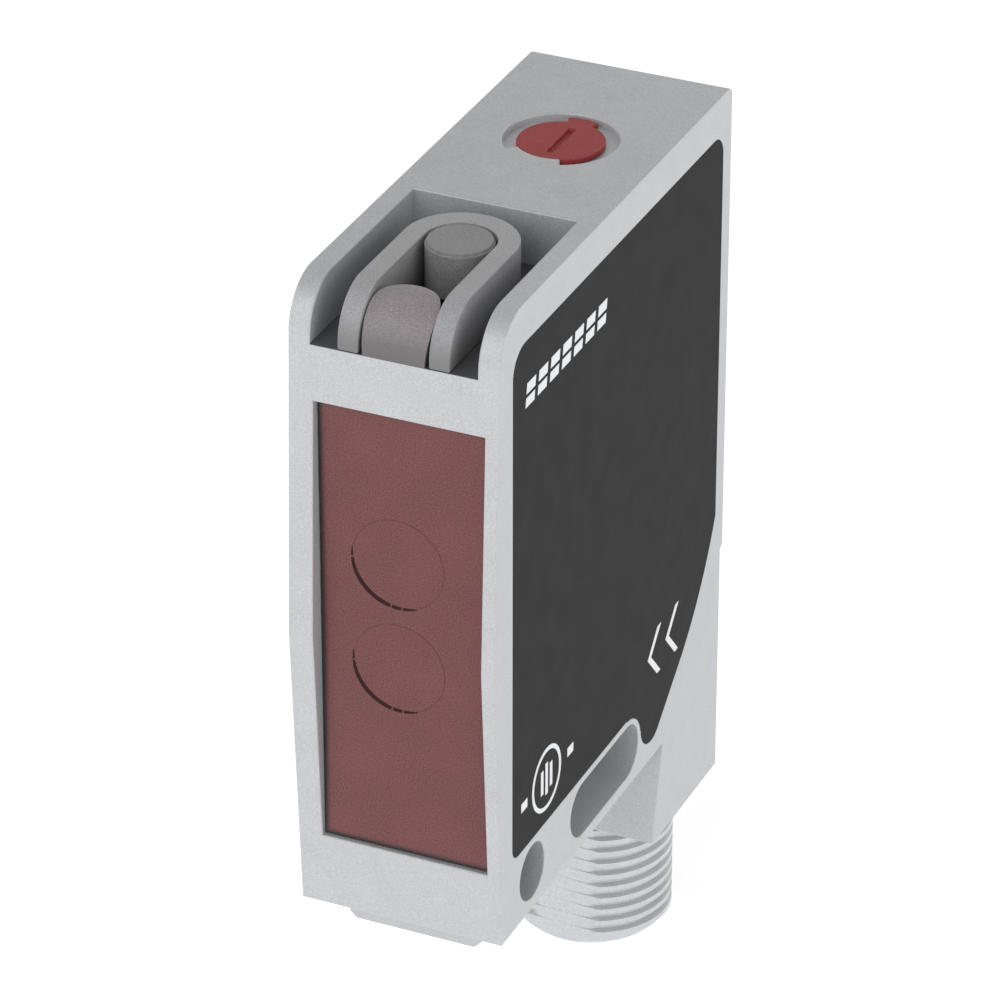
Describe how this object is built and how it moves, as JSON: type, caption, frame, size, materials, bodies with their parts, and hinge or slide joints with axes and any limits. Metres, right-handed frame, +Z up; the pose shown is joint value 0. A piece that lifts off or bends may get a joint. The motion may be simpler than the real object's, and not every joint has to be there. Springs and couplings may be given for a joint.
{
  "type": "photoelectric sensor",
  "caption": "Slim rectangular photoelectric sensor: die-cast housing, red front window, teach button, red slotted dial, threaded round plug below the rear.",
  "frame": {"origin": "centre of the round fixing hole, in the middle of the housing's width", "axes": "+X along the fixing hole to the labelled side, +Y from the window to the back, +Z up from the plug to the top with the dial"},
  "size_m": [0.015, 0.0404, 0.0661],
  "materials": {
    "housing_metal": "fine satin lacquer on die-cast zinc",
    "barrel_metal": "fine satin nickel on turned brass",
    "sheet_steel": "plain bright steel",
    "rubber_seal": "matt black rubber",
    "label_film": "matt black printed film",
    "window_red": "dark red filter plastic",
    "black_plastic": "matt black moulding",
    "clear_lens": "clear polished lens",
    "led_red": "tinted epoxy",
    "diode_dark": "dark epoxy",
    "circuit_board": "solder resist",
    "guard_grey": "mid-grey moulded plastic, fine grain",
    "button_grey": "mid-grey moulded plastic, fine grain",
    "guide_frosted": "frosted light guide, faintly pink",
    "led_yellow": "cast epoxy",
    "dial_red": "satin red plastic",
    "white_plastic": "white moulding",
    "pot_blue": "blue moulding",
    "tinned_wire": "tinned copper",
    "gold_plate": "gold-plated contacts",
    "wire_brown": "wire insulation"
  },
  "bodies": {
    "sensor_body": {"housing": "housing_metal", "side_cover": "sheet_steel", "side_gasket": "rubber_seal", "side_label": "label_film", "front_window": "window_red", "window_gasket": "rubber_seal", "lens_holder": "black_plastic", "emitter_lens": "clear_lens", "receiver_lens": "clear_lens", "emitter_led": "led_red", "receiver_diode": "diode_dark", "optics_board": "circuit_board", "button_guard": "guard_grey", "button_seal": "rubber_seal", "tact_switch": "black_plastic", "light_guide": "guide_frosted", "status_leds": "led_yellow", "ui_board": "circuit_board", "ui_link": "black_plastic", "dial_seal": "rubber_seal", "pot_body": "pot_blue", "pot_leads": "tinned_wire", "main_board": "circuit_board", "board_components": "black_plastic", "board_screws": "sheet_steel", "optics_link": "black_plastic", "plug_barrel": "barrel_metal", "barrel_seal": "rubber_seal", "contact_insert": "black_plastic", "contact_pins": "gold_plate", "plug_wires": "wire_brown"},
    "dial": {"dial": "dial_red", "pot_rotor": "white_plastic"},
    "button": {"teach_button": "button_grey", "switch_plunger": "white_plastic"}
  },
  "joints": [
    {"name": "dial_turn", "type": "hinge", "parent": "sensor_body", "child": "dial", "pos_m": [0, 0.0215, 0.04415], "axis": [0, 0, 1], "range_deg": [-134, 117]},
    {"name": "button_press", "type": "slide", "parent": "sensor_body", "child": "button", "axis": [0, 0, -1], "range_m": [0, 0.0004], "stiffness_N_per_m": 1000, "springref_m": -0.001}
  ]
}
